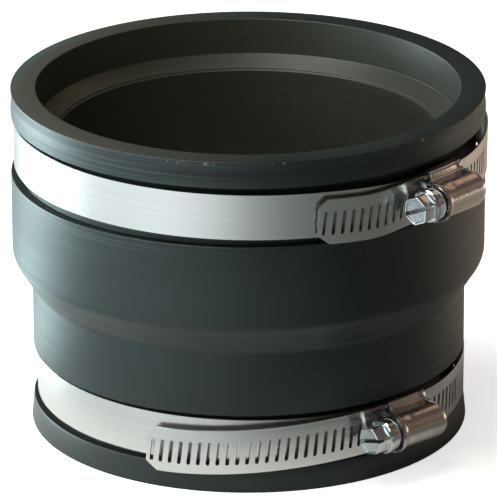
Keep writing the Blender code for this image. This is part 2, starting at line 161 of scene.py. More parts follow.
def new_group(name, inputs, outputs):
    """An empty shader group: inputs and outputs are (name, socket type, default)."""
    group = bpy.data.node_groups.new(name, "ShaderNodeTree")
    for label, kind, default in inputs:
        socket = group.interface.new_socket(label, in_out="INPUT", socket_type=kind)
        if default is not None:
            socket.default_value = default
    for label, kind in outputs:
        group.interface.new_socket(label, in_out="OUTPUT", socket_type=kind)
    start = add_node(group, "NodeGroupInput", (-900, 0))
    end = add_node(group, "NodeGroupOutput", (700, 0))
    return group, start, end


FLOAT = "NodeSocketFloat"
VECTOR = "NodeSocketVector"

# Streaks: noise drawn out along two axes, so that it runs as fine lines.
streaks, start, end = new_group(
    "streaks",
    [("Vector", VECTOR, None), ("Along", FLOAT, 8.0), ("Across", FLOAT, 900.0)],
    [("Fine", FLOAT), ("Broad", FLOAT)],
)
spread = add_node(streaks, "ShaderNodeCombineXYZ", (-700, 0))
streaks.links.new(start.outputs["Along"], spread.inputs["X"])
streaks.links.new(start.outputs["Along"], spread.inputs["Y"])
streaks.links.new(start.outputs["Across"], spread.inputs["Z"])
drawn = add_node(streaks, "ShaderNodeVectorMath", (-500, 0), operation="MULTIPLY")
streaks.links.new(start.outputs["Vector"], drawn.inputs[0])
streaks.links.new(spread.outputs["Vector"], drawn.inputs[1])
for label, place, scale, detail, roughness in (
    ("Fine", (-250, 100), 1.0, 4.0, 0.6),
    ("Broad", (-250, -150), 0.22, 2.0, 0.5),
):
    lines = add_node(
        streaks, "ShaderNodeTexNoise", place, Scale=scale, Detail=detail, Roughness=roughness
    )
    streaks.links.new(drawn.outputs["Vector"], lines.inputs["Vector"])
    streaks.links.new(lines.outputs["Fac"], end.inputs[label])

# Specks: sparse small round spots, each cell of a pattern holding one or none.
specks, start, end = new_group(
    "specks",
    [("Vector", VECTOR, None), ("Scale", FLOAT, 160.0), ("Size", FLOAT, 0.12), ("Share", FLOAT, 0.1)],
    [("Mask", FLOAT)],
)
cells = add_node(specks, "ShaderNodeTexVoronoi", (-650, 0))
specks.links.new(start.outputs["Vector"], cells.inputs["Vector"])
specks.links.new(start.outputs["Scale"], cells.inputs["Scale"])
inside = add_node(specks, "ShaderNodeMath", (-400, 100), operation="LESS_THAN")
specks.links.new(cells.outputs["Distance"], inside.inputs[0])
specks.links.new(start.outputs["Size"], inside.inputs[1])
cell_tone = add_node(specks, "ShaderNodeSeparateColor", (-450, -150))
specks.links.new(cells.outputs["Color"], cell_tone.inputs["Color"])
chosen = add_node(specks, "ShaderNodeMath", (-250, -150), operation="LESS_THAN")
specks.links.new(cell_tone.outputs["Red"], chosen.inputs[0])
specks.links.new(start.outputs["Share"], chosen.inputs[1])
both = add_node(specks, "ShaderNodeMath", (0, 0), operation="MULTIPLY")
specks.links.new(inside.outputs["Value"], both.inputs[0])
specks.links.new(chosen.outputs["Value"], both.inputs[1])
specks.links.new(both.outputs["Value"], end.inputs["Mask"])


def place_group(tree, group, place, vector, **values):
    """One copy of a shader group in a material, with its own values."""
    node = tree.nodes.new("ShaderNodeGroup")
    node.node_tree = group
    node.location = place
    for name, value in values.items():
        node.inputs[name].default_value = value
    tree.links.new(vector, node.inputs["Vector"])
    return node


def new_material(name, metallic, roughness, specular=0.5):
    """A material with its shader and the piece's own coordinates, ready to wire."""
    material = bpy.data.materials.new(name)
    material.use_nodes = True
    tree = material.node_tree
    shader = tree.nodes["Principled BSDF"]
    shader.location = (900, 0)
    tree.nodes["Material Output"].location = (1200, 0)
    shader.inputs["Metallic"].default_value = metallic
    shader.inputs["Roughness"].default_value = roughness
    shader.inputs["Specular IOR Level"].default_value = specular
    coords = add_node(tree, "ShaderNodeTexCoord", (-1100, 0))
    return material, tree, shader, coords


def mottle(tree, coords, place, scale, detail):
    """Soft random patches over the piece, as a value."""
    node = add_node(tree, "ShaderNodeTexNoise", place, Scale=scale, Detail=detail)
    tree.links.new(coords.outputs["Object"], node.inputs["Vector"])
    return node.outputs["Fac"]


def split_axes(tree, coords, place):
    """The piece's own X, Y and Z as separate values."""
    node = add_node(tree, "ShaderNodeSeparateXYZ", place)
    tree.links.new(coords.outputs["Object"], node.inputs["Vector"])
    return node.outputs


def ramp(tree, place, source, stops):
    """A colour that follows a value: stops are (position, colour)."""
    node = tree.nodes.new("ShaderNodeValToRGB")
    node.location = place
    points = node.color_ramp.elements
    while len(points) < len(stops):
        points.new(0.5)
    for point, (position, colour) in zip(points, stops):
        point.position = position
        point.color = (*colour, 1)
    tree.links.new(source, node.inputs["Fac"])
    return node.outputs["Color"]


def spread_range(tree, place, source, low, high, to_low, to_high):
    """Maps a value's range onto another."""
    node = add_node(tree, "ShaderNodeMapRange", place)
    for name, value in (
        ("From Min", low),
        ("From Max", high),
        ("To Min", to_low),
        ("To Max", to_high),
    ):
        node.inputs[name].default_value = value
    tree.links.new(source, node.inputs["Value"])
    return node.outputs["Result"]


def mix_colour(tree, place, factor, first, second):
    """Mixes two colours, each a socket or a plain colour."""
    node = add_node(tree, "ShaderNodeMix", place, data_type="RGBA")
    tree.links.new(factor, node.inputs["Factor"])
    for label, value in ((6, first), (7, second)):
        if isinstance(value, tuple):
            node.inputs[label].default_value = (*value, 1)
        else:
            tree.links.new(value, node.inputs[label])
    return node.outputs[2]


def combine(tree, place, operation, first, second):
    """Multiplies or adds two values, each a socket."""
    node = add_node(tree, "ShaderNodeMath", place, operation=operation)
    tree.links.new(first, node.inputs[0])
    tree.links.new(second, node.inputs[1])
    return node.outputs["Value"]


def times(tree, place, first, second):
    return combine(tree, place, "MULTIPLY", first, second)


def plus(tree, place, first, second):
    return combine(tree, place, "ADD", first, second)


# Nearly all of a noise's values lie between these two.
NOISE_RANGE = (0.3, 0.7)


def vary_gloss(tree, shader, source, smoothest, roughest):
    """Lets the roughness follow a noise's value between two limits."""
    gloss = spread_range(tree, (0, 0), source, *NOISE_RANGE, smoothest, roughest)
    tree.links.new(gloss, shader.inputs["Roughness"])


def raise_relief(tree, shader, source, strength, distance):
    """Lets a value stand out from the surface as fine relief."""
    relief = add_node(tree, "ShaderNodeBump", (500, -250), Strength=strength, Distance=distance)
    tree.links.new(source, relief.inputs["Height"])
    tree.links.new(relief.outputs["Normal"], shader.inputs["Normal"])


RUBBER_DARK = (0.0056, 0.0088, 0.0090)
RUBBER_PALE = (0.0120, 0.0185, 0.0195)
RUBBER_SHEEN = (0.88, 1.0, 0.99, 1)
# Painted light: the bore and the socket's lighter olive stands in for the light and sheen inside.
BORE_PAINTED_LIGHT = (0.0290, 0.0300, 0.0220)
# Painted sheen: the rim's top is lighter towards the left, where the window light falls.
RIM_PAINTED_SHEEN = (0.0640, 0.0650, 0.0520)
SCUFF = (0.050, 0.083, 0.090)
NICK = (0.20, 0.21, 0.20)
DUST = (0.075, 0.080, 0.078)

# Where each mark begins and where it is full: radii, heights, places or a noise's values.
OUTER_RADII = (0.0672, 0.0688)
BORE_RADII = (0.0638, 0.0634)
SCUFF_HEIGHTS = (0.067, 0.0785)
SCUFF_SIDE = (-0.004, -0.046)
SCUFF_LINES = (0.52, 0.70)
NICK_SPOTS = (0.62, 0.68)
RIM_HEIGHTS = (HEIGHT - 0.0004, HEIGHT - 0.0002)
RIM_SHEEN_SIDE = (0.01, -0.060)
NICK_FOOT = (HEIGHT - 0.0013, HEIGHT - 0.0008)
NICK_TOP = (HEIGHT - 0.0001, HEIGHT - 0.0004)

rubber, tree, shader, coords = new_material("black_rubber", 0.0, 0.4, 0.55)
shader.inputs["Specular Tint"].default_value = RUBBER_SHEEN
cloud = mottle(tree, coords, (-850, 500), 26.0, 5.0)
rubbed = ramp(tree, (-600, 500), cloud, [(0.3, RUBBER_DARK), (0.75, RUBBER_PALE)])
lines = place_group(
    tree, streaks, (-850, 0), coords.outputs["Object"], Along=9.0, Across=1500.0
)
axes = split_axes(tree, coords, (-850, -600))
flat_place = add_node(tree, "ShaderNodeVectorMath", (-850, -1750), operation="MULTIPLY")
flat_place.inputs[1].default_value = (1, 1, 0)
tree.links.new(coords.outputs["Object"], flat_place.inputs[0])
from_axis = add_node(tree, "ShaderNodeVectorMath", (-600, -1750), operation="LENGTH")
tree.links.new(flat_place.outputs["Vector"], from_axis.inputs[0])
outside = spread_range(tree, (-350, -1750), from_axis.outputs["Value"], *OUTER_RADII, 0, 1)
# Scuffs rubbed along the shoulder and the bead, most of them on the left.
scuff_line = spread_range(tree, (-600, 200), lines.outputs["Fine"], *SCUFF_LINES, 0, 1)
scuff_top = spread_range(tree, (-600, -500), axes["Z"], *SCUFF_HEIGHTS, 0.04, 1)
scuff_side = spread_range(tree, (-600, -750), axes["X"], *SCUFF_SIDE, 0.08, 1)
scuff_place = times(tree, (-350, -600), scuff_top, scuff_side)
scuff_out = times(tree, (-250, -700), scuff_place, outside)
scuffs = times(tree, (-150, 100), scuff_line, scuff_out)
# The bore and the socket are painted lighter and olive: painted light and sheen from above falling
# inside.
inside = spread_range(tree, (-350, -2000), from_axis.outputs["Value"], *BORE_RADII, 0, 1)
bore_painted_light = mix_colour(tree, (-300, 500), inside, rubbed, BORE_PAINTED_LIGHT)
# The rim's top is painted lighter towards the left: a painted sheen from the window light.
on_rim = spread_range(tree, (-350, -2250), axes["Z"], *RIM_HEIGHTS, 0, 1)
rim_sheen_side = spread_range(tree, (-350, -2500), axes["X"], *RIM_SHEEN_SIDE, 0, 0.9)
painted_rim_sheen = times(tree, (-150, -2250), on_rim, rim_sheen_side)
rim_sheened = mix_colour(tree, (-150, 500), painted_rim_sheen, bore_painted_light, RIM_PAINTED_SHEEN)
scuffed = mix_colour(tree, (0, 500), scuffs, rim_sheened, SCUFF)
dust = place_group(
    tree, specks, (-850, -250), coords.outputs["Object"], Scale=620.0, Size=0.14, Share=0.035
)
dusted = mix_colour(tree, (200, 500), dust.outputs["Mask"], scuffed, DUST)
# Small pale nicks along the rim's outer corner.
chips = mottle(tree, coords, (-850, -1000), 680.0, 3.0)
chip = spread_range(tree, (-600, -1000), chips, *NICK_SPOTS, 0, 1)
edge_foot = spread_range(tree, (-600, -1250), axes["Z"], *NICK_FOOT, 0, 1)
edge_top = spread_range(tree, (-600, -1500), axes["Z"], *NICK_TOP, 0, 1)
edge_band = times(tree, (-350, -1300), edge_foot, edge_top)
edge_out = times(tree, (-250, -1400), edge_band, outside)
nicks = times(tree, (-150, -1000), chip, edge_out)
nicked = mix_colour(tree, (400, 500), nicks, dusted, NICK)
tree.links.new(nicked, shader.inputs["Base Color"])
vary_gloss(tree, shader, lines.outputs["Broad"], 0.36, 0.46)
# The mould's fine grain under the brushed lines.
pores = mottle(tree, coords, (-850, -2000), 1700.0, 2.0)
skin = plus(tree, (250, -250), lines.outputs["Fine"], pores)
raise_relief(tree, shader, skin, 0.16, 0.00018)
sleeve.data.materials.append(rubber)
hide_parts("sleeve")
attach(sleeve, "sleeve")


# The bands: stainless strip 13.6 mm wide, rolled bright and cut to length. Slanted slots
# are punched along the tail for the worm, the tip's corners are cut off, and the strip
# is coiled so that the slotted tail lies over its own plain start.
BAND_WIDTH = 0.0136
BAND_THICKNESS = 0.0006
BAND_EDGE = 0.00013
CUT_ANGLE = math.radians(50)
GAP = 0.0003
TAIL_RISE = GAP + BAND_THICKNESS
SNUG = 0.00006
SLOT_PITCH = 0.0028
SLOT_WIDTH = 0.0011
SLOT_LENGTH = 0.0073
SLOT_DROP = 0.0004
THREAD_MIDDLE = 0.00395
SLOT_LEAN = math.atan(SLOT_PITCH / (math.tau * THREAD_MIDDLE))
SLOT_END_STEPS = 5
FIRST_SLOT = 0.0023
SLOTS_BEHIND = 0.034
COLUMNS_PER_SLOT = 6
CLIMB_START = math.tau - math.radians(32)
CLIMB_END = math.tau - math.radians(2.5)
DIP_LEVEL = math.radians(9)
DIP_SPREAD = math.radians(27)
HOUSING_START = 0.0064
MOUTH_PLACE = 0.0114
WELD = 1e-6
BLANK_SCALE = 10
STRIP_GREY = (0.63, 0.625, 0.615)
STRIP_BRIGHT = (0.69, 0.685, 0.675)

# The tip's cut end, from its lower corner up: back from the tip and height over the middle.
tip_cut = [
    (0.0002, -0.0041),
    (0.0004, -0.0024),
    (0.0001, -0.0008),
    (0.0005, 0.0010),
    (0.0003, 0.0028),
    (0.0007, 0.0046),
    (0.0032, 0.0068),
]

# How each clamp sits: its ring on the sleeve, its housing, its tail and its screw.
UPPER = {
    "name": "upper",
    "ring": 0.0710,
    "shift": 0.00075,
    "height": 0.0877815,
    "tilt": math.radians(0.5),
    "housing_angle": math.radians(50.5),
    "housing_dip": 0.00065,
    "tail_angle": math.radians(15.1),
    "tail_skew": 0.0016,
    "tail_reach": 0.55,
    "tail_lift": 0.0013,
    "screw_turn": math.radians(65),
}
LOWER = {
    "name": "lower",
    "ring": 0.0648,
    "shift": 0.0006,
    "height": 0.0156686,
    "tilt": math.radians(0.3),
    "housing_angle": math.radians(43.0),
    "housing_dip": 0.0,
    "tail_angle": math.radians(-27.5),
    "tail_skew": 0.0035,
    "tail_reach": 1.0,
    "tail_lift": 0.0018,
    "screw_turn": math.radians(75),
}


def smooth_step(value):
    value = min(max(value, 0.0), 1.0)
    return value * value * (3 - 2 * value)


def clamp_place(clamp):
    """From a ring about +Z at the origin to its slightly tilted place on the sleeve."""
    place = Matrix.Translation((clamp["shift"], 0, clamp["height"]))
    return place @ Matrix.Rotation(clamp["tilt"], 4, "Y")


def coil_strip(clamp, along, across):
    """Where a point of the flat strip goes when it is coiled into its ring."""
    ring = clamp["ring"]
    turned = along / ring
    start = clamp["housing_angle"] + HOUSING_START / ring
    mouth = start + math.tau - clamp["housing_angle"] + MOUTH_PLACE / ring
    tip = start + math.tau - clamp["tail_angle"]
    free = max((turned - mouth) / (tip - mouth), 0.0)
    climbed = smooth_step((turned - CLIMB_START) / (CLIMB_END - CLIMB_START))
    radius = ring - SNUG + TAIL_RISE * climbed + clamp["tail_lift"] * (1 - (1 - free) ** 3)
    angle = start - turned
    away = (angle - clamp["housing_angle"] + math.pi) % math.tau - math.pi
    dip = clamp["housing_dip"] * (1 - smooth_step((abs(away) - DIP_LEVEL) / DIP_SPREAD))
    height = across - dip - clamp["tail_skew"] * smooth_step(free / clamp["tail_reach"])
    return Vector((radius * math.sin(angle), -radius * math.cos(angle), height))


def punched_cell(shape, middle, corners, outline):
    """A piece of flat strip with one hole in it, both given as loops of points."""
    outer = [shape.verts.new((x, y, 0)) for x, y in corners]
    hole = [shape.verts.new((middle + x, y, 0)) for x, y in outline]
    edges = []
    for loop in (outer, hole):
        edges += [shape.edges.new((loop[index - 1], loop[index])) for index in range(len(loop))]
    bmesh.ops.triangle_fill(shape, edges=edges, use_beauty=True, normal=(0, 0, 1))


def slot_outline():
    """A round-ended slot, leaning by the thread's lead."""
    half = SLOT_LENGTH / 2 - SLOT_WIDTH / 2
    lean = Matrix.Rotation(SLOT_LEAN, 2)
    points = []
    for end in (1, -1):
        for step in range(SLOT_END_STEPS + 1):
            turn = math.pi * step / SLOT_END_STEPS
            x = SLOT_WIDTH / 2 * math.cos(turn) * end
            y = (half + SLOT_WIDTH / 2 * math.sin(turn)) * end
            points.append(lean @ Vector((x, y)) - Vector((0, SLOT_DROP)))
    return points


def oblong(begin, end):
    """The corners of a plain length of the strip."""
    half = BAND_WIDTH / 2
    return [(begin, -half), (end, -half), (end, half), (begin, half)]


def face_outward(shape, sample):
    """Turns a sheet's faces so that a sample of them looks away from the sleeve's axis."""
    bmesh.ops.recalc_face_normals(shape, faces=shape.faces)
    if sample.normal.xy.dot(sample.calc_center_median().xy) < 0:
        bmesh.ops.reverse_faces(shape, faces=shape.faces)


def thicken(piece, thickness, offset, even, rounding, segments):
    """Gives a sheet its thickness and rounds its cut edges a little."""
    wall = piece.modifiers.new("thickness", "SOLIDIFY")
    wall.thickness = thickness
    wall.offset = offset
    wall.use_even_offset = even
    edge = piece.modifiers.new("cut_edge", "BEVEL")
    edge.width = rounding
    edge.segments = segments
    edge.limit_method = "ANGLE"
    edge.angle_limit = CUT_ANGLE
    edge.harden_normals = True


def make_band(clamp):
    """The strip, punched and cut while it is flat, and then coiled."""
    ring = clamp["ring"]
    tip = HOUSING_START + ring * (clamp["housing_angle"] + math.tau - clamp["tail_angle"])
    first_slot = tip - FIRST_SLOT
    last_slot = HOUSING_START + ring * math.tau - SLOTS_BEHIND
    count = int((first_slot - last_slot) / SLOT_PITCH) + 1
    tail_end = first_slot - SLOT_PITCH / 2
    shape = bmesh.new()
    outline = slot_outline()
    cut_end = [(tip - back, height) for back, height in tip_cut]
    corners = [(tail_end, -BAND_WIDTH / 2)] + cut_end + [(tail_end, BAND_WIDTH / 2)]
    punched_cell(shape, first_slot, corners, outline)
    for index in range(1, count):
        middle = first_slot - index * SLOT_PITCH
        corners = oblong(middle - SLOT_PITCH / 2, middle + SLOT_PITCH / 2)
        punched_cell(shape, middle, corners, outline)
    tail_start = first_slot - (count - 0.5) * SLOT_PITCH
    shape.faces.new([shape.verts.new((x, y, 0)) for x, y in oblong(0, tail_start)])
    bmesh.ops.remove_doubles(shape, verts=shape.verts, dist=WELD)
    step = SLOT_PITCH / COLUMNS_PER_SLOT
    for index in range(1, int(tip / step)):
        bmesh.ops.bisect_plane(
            shape,
            geom=shape.verts[:] + shape.edges[:] + shape.faces[:],
            dist=WELD,
            plane_co=(tip - index * step, 0, 0),
            plane_no=(1, 0, 0),
        )
    blank = shape.loops.layers.uv.new("blank")
    for face in shape.faces:
        for loop in face.loops:
            loop[blank].uv = loop.vert.co.xy * BLANK_SCALE
    place = clamp_place(clamp)
    for vert in shape.verts:
        vert.co = place @ coil_strip(clamp, vert.co.x, vert.co.y)
    face_outward(shape, shape.faces[:][0])
    band = new_piece(clamp["name"] + "_strip", shape, 30)
    thicken(band, BAND_THICKNESS, -1, True, BAND_EDGE, 2)
    return band


def lines_on_blank(tree, coords, along, across):
    """Streaks that lie on the flat sheet, so that they bend with it."""
    turned_flat = add_node(tree, "ShaderNodeMapping", (-950, 0))
    turned_flat.inputs["Rotation"].default_value = (math.pi / 2, 0, 0)
    tree.links.new(coords.outputs["UV"], turned_flat.inputs["Vector"])
    blank = turned_flat.outputs["Vector"]
    return place_group(tree, streaks, (-700, 0), blank, Along=along, Across=across)


strip_steel, tree, shader, coords = new_material("rolled_stainless_strip", 1.0, 0.24)
lines = lines_on_blank(tree, coords, 1.5, 260.0)
tone = ramp(
    tree, (-400, 250), lines.outputs["Broad"], [(0.25, STRIP_GREY), (0.7, STRIP_BRIGHT)]
)
tree.links.new(tone, shader.inputs["Base Color"])
vary_gloss(tree, shader, lines.outputs["Fine"], 0.19, 0.28)
raise_relief(tree, shader, lines.outputs["Fine"], 0.04, 0.00004)

for clamp in (UPPER, LOWER):
    band = make_band(clamp)
    band.data.materials.append(strip_steel)
    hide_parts(clamp["name"] + "_band")
    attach(band, clamp["name"] + "_clamp")


# The saddles: small plates of the same strip under the band's fixed end. The housing's
# legs are folded round them, and two tabs come up through the band. They are plain and
# nearly hidden, so their solids stay and take the strip's steel.
for clamp in (UPPER, LOWER):
    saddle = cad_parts[clamp["name"] + "_saddle"]
    saddle.data.materials.clear()
    saddle.data.materials.append(strip_steel)


# The housings: stamped from stainless sheet and rolled over the worm. Each is a barrel
# with a rolled lip at its mouth and a flange down both sides, folded round the band's
# edges and under the saddle. A dimple stiffens the barrel and two lugs stop the band.
SHEET = 0.00065
SHEET_EDGE = 0.00020
WORM_HEIGHT = 0.0056
BARREL_RADIUS = 0.005025
BARREL_WAIST = math.radians(-8)
BARREL_STEPS = 22
FLANGE_HEIGHT = 0.001525
FLANGE_START = -0.0056
FLANGE_LEG = 0.0021
LEG_HEIGHT = -0.001225
HALF_WIDTH = 0.00765
HOUSING_MOUTH = -0.0093
HOUSING_END = 0.0090
HOUSING_ROWS = 120
ROW_SPACING = 0.25
MOUTH_REACH = 0.0026
LIP_RISE = 0.0007
LIP_LENGTH = 0.0023
LIP_CREST = 0.36
# The lip's section is part of half a turn: from this share of it, and through this share.
LIP_ROLL = (0.2, 0.3)
CURL_LENGTH = 0.0013
END_CURL = 0.0004
FOLD_RADIUS = 0.0009
FOLD_STEPS = 6
FILLET_RADIUS = 0.0013
FILLET_STEPS = 7
DIMPLE = {"along": -0.0042, "turn": math.radians(28), "spread": 0.0009, "depth": 0.00018}
LUGS = ((0.0074, 0.0069), (0.0082, 0.0056))
LUG_SPREAD = 0.00055
LUG_HEIGHT = 0.0005
SHEET_SCALE = 0.2
SHEET_GREY = (0.58, 0.55, 0.52)
SHEET_BRIGHT = (0.70, 0.67, 0.64)


def arc(centre, radius, begin, end, steps):
    """Points on an arc, angles measured from across the housing."""
    turn = (end - begin) / steps
    return [
        Vector((centre[0], centre[1])) + Vector((math.cos(a), math.sin(a))) * radius
        for a in (begin + turn * step for step in range(steps + 1))
    ]


def half_outline(radius):
    """The middle of the sheet from the barrel's crown to the end of one leg."""
    bend = HALF_WIDTH - SHEET / 2 - FOLD_RADIUS
    barrel = arc((0, WORM_HEIGHT), radius, math.pi / 2, BARREL_WAIST, BARREL_STEPS)
    middle = (BARREL_RADIUS + FILLET_RADIUS, FLANGE_HEIGHT + FILLET_RADIUS)
    valley = arc(middle, FILLET_RADIUS, math.pi, math.pi * 1.5, FILLET_STEPS)
    fold = arc((bend, FLANGE_HEIGHT - FOLD_RADIUS), FOLD_RADIUS, math.pi / 2, 0, FOLD_STEPS)
    curl = arc((bend, LEG_HEIGHT + FOLD_RADIUS), FOLD_RADIUS, 0, -math.pi / 2, FOLD_STEPS)
    leg = [Vector((bend - FLANGE_LEG, LEG_HEIGHT))]
    return barrel + valley + fold + curl + leg


def barrel_at(along):
    """The barrel's mouth is rolled to a rounded lip and its far end curls in."""
    near = (along - HOUSING_MOUTH) / LIP_LENGTH
    rolled = LIP_ROLL[0] + LIP_ROLL[1] * min(near / LIP_CREST, 1)
    rounded = math.sqrt(math.sin(math.pi * rolled))
    lip = rounded * (1 - smooth_step((near - LIP_CREST) / (1 - LIP_CREST)))
    curl = smooth_step((along - HOUSING_END + CURL_LENGTH) / CURL_LENGTH)
    return BARREL_RADIUS + LIP_RISE * lip - END_CURL * curl


def housing_place(clamp):
    """Along the screw, up the ring's axis and out from the ring, on the band's face."""
    angle = clamp["housing_angle"]
    along = Vector((math.cos(angle), math.sin(angle), 0))
    out = Vector((math.sin(angle), -math.cos(angle), 0))
    turn = Matrix((along, Vector((0, 0, 1)), out)).transposed().to_4x4()
    middle = out * clamp["ring"] - Vector((0, 0, clamp["housing_dip"]))
    return clamp_place(clamp) @ Matrix.Translation(middle) @ turn


def pressed(along, side, height):
    """Presses the dimple into each side of the barrel and the lugs out of each flange."""
    out = Vector((abs(side), height - WORM_HEIGHT))
    if height > FLANGE_HEIGHT + FILLET_RADIUS:
        arm = BARREL_RADIUS * (math.atan2(out.y, out.x) - DIMPLE["turn"])
        reach = (along - DIMPLE["along"]) ** 2 + arm**2
        sunk = DIMPLE["depth"] * math.exp(-reach / (2 * DIMPLE["spread"] ** 2))
        moved = out * (1 - sunk / out.length)
        return math.copysign(moved.x, side), moved.y + WORM_HEIGHT
    if height > 0:
        for lug_along, lug_side in LUGS:
            reach = (along - lug_along) ** 2 + (abs(side) - lug_side) ** 2
            height += LUG_HEIGHT * math.exp(-reach / (2 * LUG_SPREAD**2))
    return side, height


def make_housing(clamp):
    """The stamping, bent from a flat grid of the sheet's middle."""
    columns = 2 * (len(half_outline(BARREL_RADIUS)) - 1)
    shape = bmesh.new()
    bmesh.ops.create_grid(shape, x_segments=HOUSING_ROWS, y_segments=columns, size=0.5)
    length = HOUSING_END - HOUSING_MOUTH
    place = housing_place(clamp)
    blank = shape.loops.layers.uv.new("blank")
    for face in shape.faces:
        for loop in face.loops:
            loop[blank].uv = (loop.vert.co.y * SHEET_SCALE, loop.vert.co.x * SHEET_SCALE)
    for vert in shape.verts:
        # The rows lie closer together towards the mouth, where the sheet bends most.
        share = vert.co.x + 0.5
        along = HOUSING_MOUTH + length * share * (ROW_SPACING + (1 - ROW_SPACING) * share)
        outline = half_outline(barrel_at(along))
        column = round((vert.co.y + 0.5) * columns) - columns // 2
        side, height = outline[abs(column)]
        side, height = pressed(along, math.copysign(side, column) if column else 0.0, height)
        sag = clamp["ring"] - math.sqrt(clamp["ring"] ** 2 - along**2)
        low = 1 - smooth_step((height - FLANGE_HEIGHT) / (WORM_HEIGHT - FLANGE_HEIGHT))
        vert.co = place @ Vector((along, side, height - sag * low))
    # The flanges start behind the mouth, which reaches forward over the neck on its own.
    to_housing = place.inverted()
    cut_away = []
    for face in shape.faces:
        spot = to_housing @ face.calc_center_median()
        if spot.x < FLANGE_START and spot.z < WORM_HEIGHT - MOUTH_REACH:
            cut_away.append(face)
    bmesh.ops.delete(shape, geom=cut_away, context="FACES")
    crown = max(shape.faces, key=lambda face: face.calc_center_median().xy.length)
    face_outward(shape, crown)
    housing = new_piece(clamp["name"] + "_barrel_housing", shape, 50)
    thicken(housing, SHEET, 0, False, SHEET_EDGE, 3)
    return housing


housing_steel, tree, shader, coords = new_material("stamped_stainless_sheet", 1.0, 0.2)
# The drawing die leaves short scratches round the barrel, across its length.
lines = lines_on_blank(tree, coords, 14.0, 190.0)
wash = mottle(tree, coords, (-700, 300), 120.0, 3.0)
tone = ramp(tree, (-400, 300), wash, [(0.3, SHEET_GREY), (0.7, SHEET_BRIGHT)])
tree.links.new(tone, shader.inputs["Base Color"])
vary_gloss(tree, shader, lines.outputs["Fine"], 0.17, 0.31)
waves = plus(tree, (-150, -250), lines.outputs["Fine"], lines.outputs["Broad"])
raise_relief(tree, shader, waves, 0.22, 0.00012)

for clamp in (UPPER, LOWER):
    housing = make_housing(clamp)
    housing.data.materials.append(housing_steel)
    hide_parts(clamp["name"] + "_housing")
    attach(housing, clamp["name"] + "_clamp")


# The screws: cold headed from steel wire, the thread rolled, and then zinc plated. The
# hexagon head has a raised rim, a driver's slot across it and a round flange behind it,
# and a plain collar leads into the housing's mouth.
WORM_RADIUS = 0.0044
WORM_INSET = 0.0013
WORM_START = HOUSING_MOUTH + WORM_INSET
WORM_END = HOUSING_END - CURL_LENGTH - GAP
THREAD_DEPTH = 0.0009
THREAD_STEPS = 32
THREAD_SUNK = 0.0002
# Half the thread's foot and half its crest, as shares of its pitch.
THREAD_HALVES = (0.38, 0.15)
TIP_LENGTH = 0.0012
TIP_TAPER = 0.75
NECK_RADIUS = 0.0043
NECK_LENGTH = 0.0031
NECK_START = HOUSING_MOUTH - 0.0002
COLLAR_RADIUS = 0.0049
COLLAR_END = HOUSING_MOUTH - 0.0008
FLANGE_RADIUS = 0.0052
FLANGE_THICKNESS = 0.0012
# The flange's rounded front: how far back, and how far below its full radius.
FLANGE_FRONT = ((0.0, 0.0006), (0.0004, 0.00008), (0.0006, 0.0))
FLANGE_BACK = 0.0002
BAR_STEPS = 64
HEAD_FLATS = 0.0078
HEAD_LENGTH = 0.0048
HEAD_FACE = HOUSING_MOUTH - NECK_LENGTH - FLANGE_THICKNESS - HEAD_LENGTH
HEAD_CORNER = 0.0006
HEAD_EDGE = 0.00016
HEAD_RIM = 0.00055
HEAD_RECESS = 0.0005
RECESS_SLOPE = 0.00012
RECESS_PLAY = 0.0001
# How squarely a face looks up or forward, and how sharp an edge is rounded, in radians.
UPWARD = 0.9
FORWARD = 0.8
SHARP_ANGLE = 0.8
DRIVE_SLOT_WIDTH = 0.0012
DRIVE_SLOT_DEPTH = 0.0022
DRIVE_SLOT_CUT = 0.02
# Just past the driver's slot: how deep and how far to each side.
SLOT_MARK = (DRIVE_SLOT_DEPTH * 1.05, DRIVE_SLOT_WIDTH * 0.505)
ZINC_GREY = (0.62, 0.66, 0.68)
ZINC_BRIGHT = (0.80, 0.84, 0.86)
FACE_PIT = (0.38, 0.45, 0.47)
FACE_PALE = (0.62, 0.68, 0.70)
# Painted shade for the driver's slot.
SLOT_PAINTED_SHADE = (0.16, 0.17, 0.17)


def round_bar(shape, stations):
    """A turned bar along X through (place, radius) stations, capped at both ends."""
    profile = [shape.verts.new((stations[0][0], 0, 0))]
    profile += [shape.verts.new((along, radius, 0)) for along, radius in stations]
    profile += [shape.verts.new((stations[-1][0], 0, 0))]
    edges = [shape.edges.new(pair) for pair in zip(profile, profile[1:])]
    bmesh.ops.spin(
        shape,
        geom=profile + edges,
        cent=(0, 0, 0),
        axis=(1, 0, 0),
        angle=math.tau,
        steps=BAR_STEPS,
        use_merge=True,
    )


